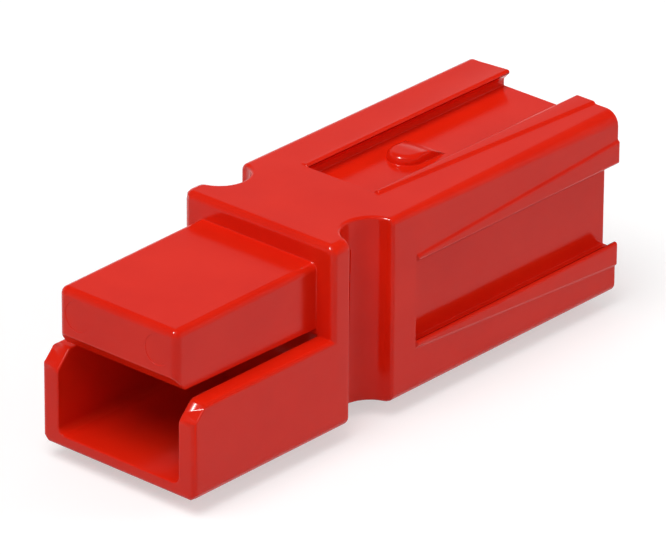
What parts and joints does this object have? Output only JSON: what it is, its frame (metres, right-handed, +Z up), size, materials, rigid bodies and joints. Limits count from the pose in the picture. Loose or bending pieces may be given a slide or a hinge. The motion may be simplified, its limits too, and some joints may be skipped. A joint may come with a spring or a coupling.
{
  "type": "genderless power connector housing",
  "caption": "Square moulded connector shell with a hood and a tongue at the mating end, a cable bore behind, pin grooves and stacking dovetails.",
  "frame": {"origin": "centre of the cable mouth in the rear face, on the long axis of the housing", "axes": "+Y out of the cable mouth, with the mating end towards -Y; +Z up, through the tongue and the top channel; +X to the side that has the other channel"},
  "size_m": [0.0173, 0.0492, 0.0173],
  "materials": {
    "shell_plastic": "glossy red moulded plastic",
    "spring_steel": "rolled stainless strip"
  },
  "bodies": {
    "root": {"housing": "shell_plastic", "retention_spring": "spring_steel"}
  },
  "joints": []
}
